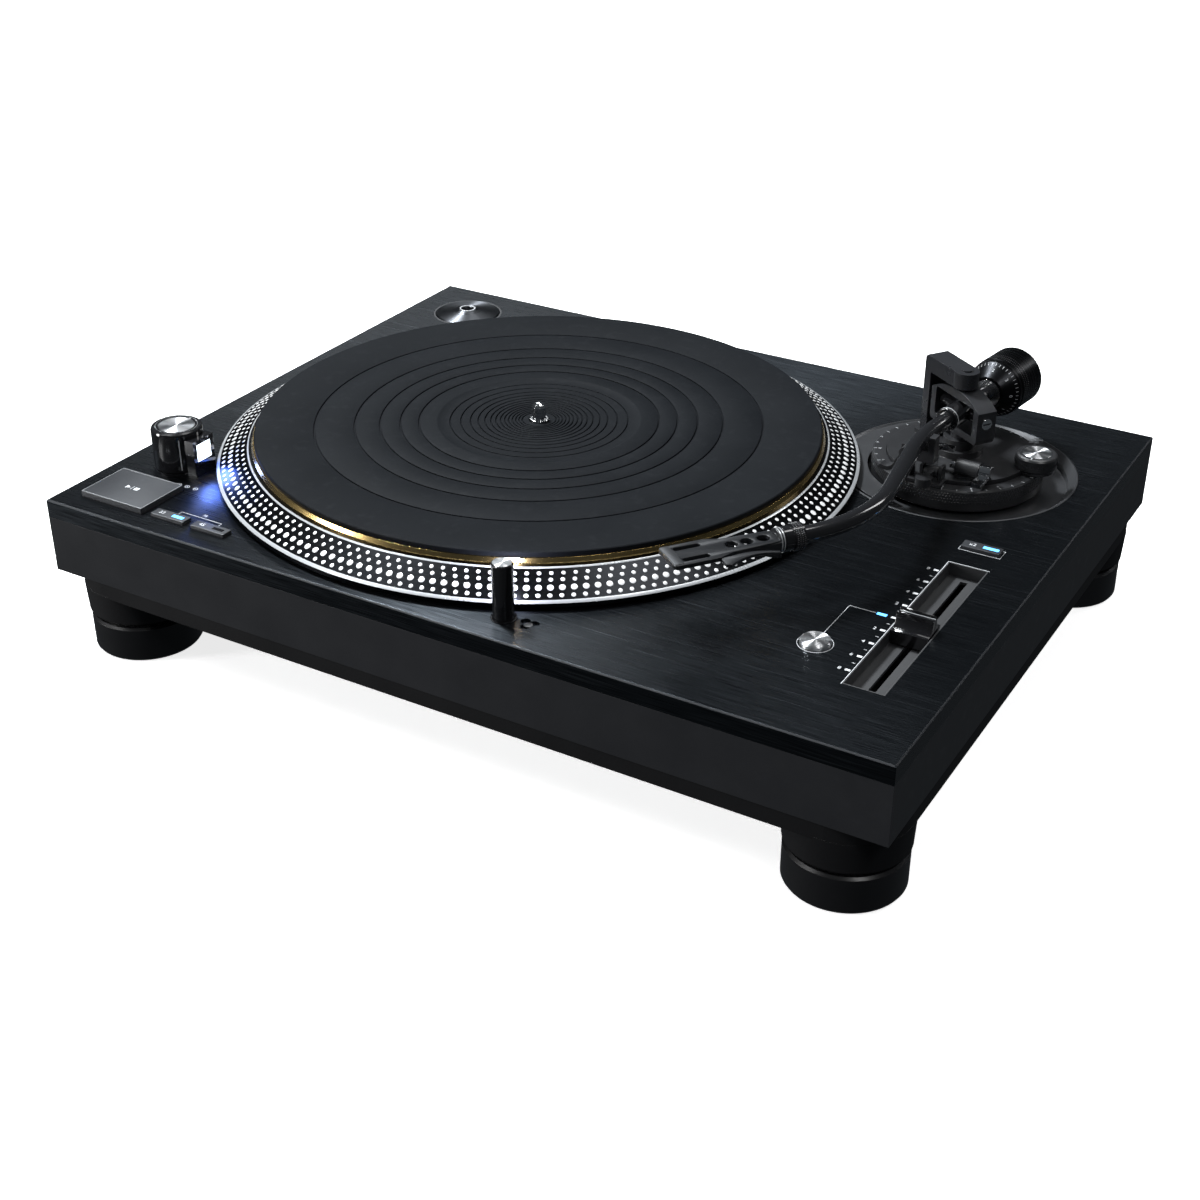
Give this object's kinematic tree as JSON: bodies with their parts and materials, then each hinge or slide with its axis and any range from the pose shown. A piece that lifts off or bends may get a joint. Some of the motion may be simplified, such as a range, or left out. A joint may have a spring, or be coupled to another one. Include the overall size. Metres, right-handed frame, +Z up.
{
  "type": "turntable record player",
  "caption": "Direct-drive record player: heavy deck on round levelling feet, dotted platter with rubber mat, pitch slider, buttons and an S-shaped gimballed tonearm.",
  "frame": {"origin": "centre of the deck's footprint, on the surface the feet stand on", "axes": "+X to the right of the deck as its user faces it, +Y to the rear terminals, +Z up"},
  "size_m": [0.453, 0.353, 0.1393],
  "materials": {
    "brushed_black": "black anodised, brushed along X",
    "chassis_black": "cast, painted satin black",
    "base_black": "moulded, matt",
    "steel": "zinc plated",
    "board": "solder mask",
    "socket_plastic": "matt",
    "gold_plate": "plated",
    "foot_black": "satin black",
    "copper_coil": "enamelled copper",
    "bearing_brass": "turned",
    "magnet": "sintered",
    "polished_steel": "polished",
    "platter_metal": "turned",
    "damper_rubber": "matt",
    "disc_brass": "turned",
    "mat_rubber": "matt",
    "gloss_black": "gloss",
    "lamp_window": "diffusing",
    "button_grey": "satin grey",
    "spun_steel": "spun",
    "tray_black": "matt",
    "arm_black": "satin black",
    "tube_black": "gloss black",
    "weight_black": "satin black",
    "plate_grey": "satin grey"
  },
  "bodies": {
    "deck": {"top_panel": "brushed_black", "chassis": "chassis_black", "base_cover": "base_black", "base_screws": "steel", "power_supply": "steel", "control_board": "board", "terminal_plate": "socket_plastic", "phono_jacks": "gold_plate", "ground_terminal": "steel", "mains_inlet": "socket_plastic", "motor_board": "board", "motor_coils": "copper_coil", "bearing_sleeve": "bearing_brass", "strobe_housing": "gloss_black", "strobe_window": "lamp_window", "lamp_collar": "arm_black", "pitch_tray": "tray_black", "adaptor_cup": "tray_black", "arm_well": "plate_grey", "well_plate": "plate_grey", "arm_socket": "steel"},
    "foot_fl": {"foot_front_left": "foot_black"},
    "foot_fr": {"foot_front_right": "foot_black"},
    "foot_rl": {"foot_rear_left": "foot_black"},
    "foot_rr": {"foot_rear_right": "foot_black"},
    "turntable": {"rotor": "steel", "rotor_magnet": "magnet", "spindle": "polished_steel", "platter": "platter_metal", "platter_damper": "damper_rubber", "brass_disc": "disc_brass", "rubber_mat": "mat_rubber"},
    "knob": {"power_knob": "gloss_black"},
    "start_button": {"start_stop_button": "button_grey"},
    "button_33": {"speed_33_button": "button_grey"},
    "button_45": {"speed_45_button": "button_grey"},
    "reset_button": {"pitch_reset_button": "spun_steel"},
    "range_button": {"pitch_range_button": "button_grey"},
    "release_button": {"lamp_release_button": "gloss_black"},
    "lamp": {"target_lamp": "gloss_black"},
    "slider": {"pitch_slider": "gloss_black"},
    "adaptor": {"record_adaptor": "spun_steel"},
    "height_dial": {"height_ring": "arm_black"},
    "carriage": {"arm_base": "arm_black", "arm_rest": "arm_black", "pivot_bracket": "arm_black"},
    "antiskate": {"antiskate_knob": "arm_black"},
    "lock": {"lock_lever": "polished_steel"},
    "cue": {"cue_lever": "arm_black"},
    "lift": {"lift_platform": "steel"},
    "clamp": {"arm_clamp": "arm_black"},
    "yoke": {"gimbal": "arm_black", "gimbal_screws": "polished_steel"},
    "arm": {"arm_tube": "tube_black"},
    "shell": {"headshell": "arm_black"},
    "collar": {"locking_collar": "arm_black"},
    "weight_bush": {"weight_core": "steel"},
    "weight": {"counterweight": "weight_black"},
    "dial": {"pressure_dial": "weight_black"}
  },
  "joints": [
    {"name": "platter_spin", "type": "hinge", "parent": "deck", "child": "turntable", "pos_m": [-0.0446, -0.005, 0.09], "axis": [0, 0, -1], "continuous": true},
    {"name": "power_turn", "type": "hinge", "parent": "deck", "child": "knob", "pos_m": [-0.1949, -0.1127, 0.095], "axis": [0, 0, -1], "range_deg": [0, 45]},
    {"name": "start_stop_press", "type": "slide", "parent": "deck", "child": "start_button", "axis": [0, 0, -1], "range_m": [0, 0.0015], "stiffness_N_per_m": 500, "springref_m": -0.002},
    {"name": "speed_33_press", "type": "slide", "parent": "deck", "child": "button_33", "axis": [0, 0, -1], "range_m": [0, 0.0015], "stiffness_N_per_m": 300, "springref_m": -0.002},
    {"name": "speed_45_press", "type": "slide", "parent": "deck", "child": "button_45", "axis": [0, 0, -1], "range_m": [0, 0.0015], "stiffness_N_per_m": 300, "springref_m": -0.002},
    {"name": "pitch_reset_press", "type": "slide", "parent": "deck", "child": "reset_button", "axis": [0, 0, -1], "range_m": [0, 0.0015], "stiffness_N_per_m": 300, "springref_m": -0.002},
    {"name": "pitch_range_press", "type": "slide", "parent": "deck", "child": "range_button", "axis": [0, 0, -1], "range_m": [0, 0.0015], "stiffness_N_per_m": 300, "springref_m": -0.002},
    {"name": "lamp_release_press", "type": "slide", "parent": "deck", "child": "release_button", "axis": [0, 0, -1], "range_m": [0, 0.0012], "stiffness_N_per_m": 200, "springref_m": -0.002},
    {"name": "lamp_retract", "type": "slide", "parent": "deck", "child": "lamp", "axis": [0, 0, -1], "range_m": [0, 0.0275], "stiffness_N_per_m": 40, "springref_m": -0.01},
    {"name": "pitch_slide", "type": "slide", "parent": "deck", "child": "slider", "axis": [0, 1, 0], "range_m": [-0.047, 0.05]},
    {"name": "adaptor_lift", "type": "slide", "parent": "deck", "child": "adaptor", "axis": [0, 0, 1], "range_m": [0, 0.03]},
    {"name": "foot_fl_level", "type": "slide", "parent": "deck", "child": "foot_fl", "axis": [0, 0, -1], "range_m": [0, 0.006]},
    {"name": "foot_fr_level", "type": "slide", "parent": "deck", "child": "foot_fr", "axis": [0, 0, -1], "range_m": [0, 0.006]},
    {"name": "foot_rl_level", "type": "slide", "parent": "deck", "child": "foot_rl", "axis": [0, 0, -1], "range_m": [0, 0.006]},
    {"name": "foot_rr_level", "type": "slide", "parent": "deck", "child": "foot_rr", "axis": [0, 0, -1], "range_m": [0, 0.006]},
    {"name": "height_turn", "type": "hinge", "parent": "deck", "child": "height_dial", "pos_m": [0.1499, 0.0882, 0.087], "axis": [0, 0, 1], "range_deg": [0, 180]},
    {"name": "arm_height", "type": "slide", "parent": "deck", "child": "carriage", "axis": [0, 0, 1], "range_m": [0, 0.006]},
    {"name": "antiskate_turn", "type": "hinge", "parent": "carriage", "child": "antiskate", "pos_m": [0.1899, 0.0902, 0.098], "axis": [0, 0, 1], "range_deg": [0, 300]},
    {"name": "lock_turn", "type": "hinge", "parent": "carriage", "child": "lock", "pos_m": [0.1649, 0.0612, 0.099], "axis": [-1, 0, 0], "range_deg": [0, 50]},
    {"name": "cue_turn", "type": "hinge", "parent": "carriage", "child": "cue", "pos_m": [0.1499, 0.0512, 0.0985], "axis": [-1, 0, 0], "range_deg": [0, 22]},
    {"name": "cue_lift", "type": "slide", "parent": "carriage", "child": "lift", "axis": [0, 0, 1], "range_m": [0, 0.0038]},
    {"name": "clamp_turn", "type": "hinge", "parent": "carriage", "child": "clamp", "pos_m": [0.1387, 0.0437, 0.109], "axis": [0, 1, 0], "range_deg": [0, 150]},
    {"name": "arm_swing", "type": "hinge", "parent": "carriage", "child": "yoke", "pos_m": [0.1499, 0.0882, 0.1175], "axis": [0, 0, -1], "range_deg": [0, 42]},
    {"name": "arm_raise", "type": "hinge", "parent": "yoke", "child": "arm", "pos_m": [0.1499, 0.0882, 0.1175], "axis": [-0.8192, 0.5736, 0], "range_deg": [0, 10]},
    {"name": "headshell_pull", "type": "slide", "parent": "arm", "child": "shell", "axis": [-0.6018, -0.7986, 0], "range_m": [0, 0.012]},
    {"name": "collar_turn", "type": "hinge", "parent": "arm", "child": "collar", "pos_m": [0.13552, -0.08027, 0.1175], "axis": [-0.6018, -0.7986, 0], "range_deg": [0, 60]},
    {"name": "weight_travel", "type": "slide", "parent": "arm", "child": "weight_bush", "axis": [0.1392, 0.9903, 0], "range_m": [-0.0008, 0.0016]},
    {"name": "weight_turn", "type": "hinge", "parent": "weight_bush", "child": "weight", "pos_m": [0.15616, 0.13276, 0.1175], "axis": [0.1392, 0.9903, 0], "range_deg": [-180, 360]},
    {"name": "dial_turn", "type": "hinge", "parent": "weight", "child": "dial", "pos_m": [0.15407, 0.11791, 0.1175], "axis": [0.1392, 0.9903, 0], "range_deg": [-180, 180]}
  ],
  "couplings": [
    {"joint": "arm_height", "follows": "height_turn", "m_per_rad": 0.0019099},
    {"joint": "cue_turn", "follows": "cue_lift", "rad_per_m": 101.05},
    {"joint": "weight_travel", "follows": "weight_turn", "m_per_rad": 0.00025465}
  ]
}
